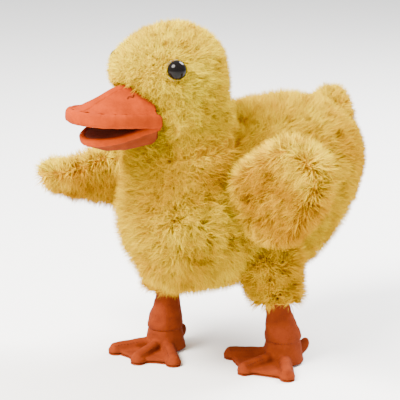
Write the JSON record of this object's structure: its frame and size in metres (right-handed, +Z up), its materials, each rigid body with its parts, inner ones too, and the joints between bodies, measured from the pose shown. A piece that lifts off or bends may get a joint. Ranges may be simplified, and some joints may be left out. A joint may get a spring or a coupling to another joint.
{
  "type": "moving mouth puppet",
  "caption": "Standing duckling hand puppet in long yellow plush: soft orange bill opened by the hand inside, flapping wings, webbed suede feet.",
  "frame": {"origin": "centre of the base of the whole bounding box, on the surface the feet stand on", "axes": "+Z up, the bill points to -Y, the puppet's left wing to +X"},
  "size_m": [0.3125, 0.3159, 0.291],
  "materials": {
    "plush_fur": "matte",
    "plush_underside": "matte",
    "orange_suede": "matte",
    "leg_suede": "matte",
    "mouth_lining": "matte",
    "sleeve_lining": "matte",
    "polyester_fill": "matte",
    "foam": "matte",
    "stiff_board": "matte",
    "eye_black": "gloss",
    "washer_white": "matte",
    "stitch_thread": "matte"
  },
  "bodies": {
    "torso": {"left_side_panel": "plush_fur", "back_panel": "plush_fur", "right_side_panel": "plush_fur", "belly_panel": "plush_underside", "opening_hem": "sleeve_lining", "left_body_stuffing": "polyester_fill", "right_body_stuffing": "polyester_fill", "hand_sleeve_body": "sleeve_lining", "tail_skin": "plush_fur", "tail_stuffing": "polyester_fill"},
    "neck": {"neck_skin": "plush_fur", "neck_stuffing": "polyester_fill", "hand_sleeve_neck": "sleeve_lining"},
    "head": {"left_eye": "eye_black", "right_eye": "eye_black", "eye_washers": "washer_white", "head_crown_gusset": "plush_fur", "head_left_panel": "plush_fur", "head_right_panel": "plush_fur", "head_stuffing": "polyester_fill", "neck_collar": "plush_fur", "collar_stuffing": "polyester_fill", "hand_sleeve_head": "sleeve_lining", "upper_bill_rim": "orange_suede", "upper_mouth_lining": "mouth_lining", "upper_mouth_board": "stiff_board", "upper_bill_ridge_strip": "orange_suede", "upper_bill_left_panel": "orange_suede", "upper_bill_right_panel": "orange_suede", "upper_bill_filler": "foam", "finger_pocket": "sleeve_lining", "nostril_stitches": "stitch_thread"},
    "lower_bill": {"lower_bill_rim": "orange_suede", "lower_mouth_lining": "mouth_lining", "lower_mouth_board": "stiff_board", "lower_bill_cover": "orange_suede", "lower_bill_filler": "foam", "thumb_pocket": "sleeve_lining"},
    "left_wing": {"left_wing_front_panel": "plush_fur", "left_wing_back_panel": "plush_fur", "left_wing_wadding": "polyester_fill"},
    "left_leg": {"left_thigh_cuff": "plush_fur", "left_thigh_stuffing": "polyester_fill", "left_leg_sleeve": "leg_suede", "left_leg_stuffing": "polyester_fill"},
    "left_foot": {"left_foot_sole": "orange_suede", "left_foot_top": "orange_suede", "left_foot_wadding": "polyester_fill", "left_rear_toe": "orange_suede"},
    "right_wing": {"right_wing_front_panel": "plush_fur", "right_wing_back_panel": "plush_fur", "right_wing_wadding": "polyester_fill"},
    "right_leg": {"right_thigh_cuff": "plush_fur", "right_thigh_stuffing": "polyester_fill", "right_leg_sleeve": "leg_suede", "right_leg_stuffing": "polyester_fill"},
    "right_foot": {"right_foot_sole": "orange_suede", "right_foot_top": "orange_suede", "right_foot_wadding": "polyester_fill", "right_rear_toe": "orange_suede"}
  },
  "joints": [
    {"name": "neck_turn", "type": "hinge", "parent": "torso", "child": "neck", "pos_m": [0, -0.05, 0.178], "axis": [0, 0, 1], "range_deg": [-32, 38]},
    {"name": "head_nod", "type": "hinge", "parent": "neck", "child": "head", "pos_m": [0, -0.05, 0.205], "axis": [0.9903, -0.1392, 0], "range_deg": [-20, 12]},
    {"name": "mouth_open", "type": "hinge", "parent": "head", "child": "lower_bill", "pos_m": [-0.00626, -0.09456, 0.2185], "axis": [0.9903, -0.1392, 0], "range_deg": [-16.5, 12]},
    {"name": "left_wing_flap", "type": "hinge", "parent": "torso", "child": "left_wing", "pos_m": [0.08, -0.038, 0.152], "axis": [0, -0.9404, -0.3401], "range_deg": [-82, 20]},
    {"name": "right_wing_flap", "type": "hinge", "parent": "torso", "child": "right_wing", "pos_m": [-0.077, -0.046, 0.152], "axis": [0.27, -0.745, -0.61], "range_deg": [-36, 62]},
    {"name": "left_hip_swing", "type": "hinge", "parent": "torso", "child": "left_leg", "pos_m": [0.046, 0.003, 0.092], "axis": [1, 0, 0], "range_deg": [-18, 18]},
    {"name": "right_hip_swing", "type": "hinge", "parent": "torso", "child": "right_leg", "pos_m": [-0.042, -0.022, 0.092], "axis": [1, 0, 0], "range_deg": [-18, 18]},
    {"name": "left_ankle_bend", "type": "hinge", "parent": "left_leg", "child": "left_foot", "pos_m": [0.054, 0.013, 0.025], "axis": [1, 0, 0], "range_deg": [-12, 12]},
    {"name": "right_ankle_bend", "type": "hinge", "parent": "right_leg", "child": "right_foot", "pos_m": [-0.042, -0.032, 0.025], "axis": [1, 0, 0], "range_deg": [-12, 12]}
  ]
}
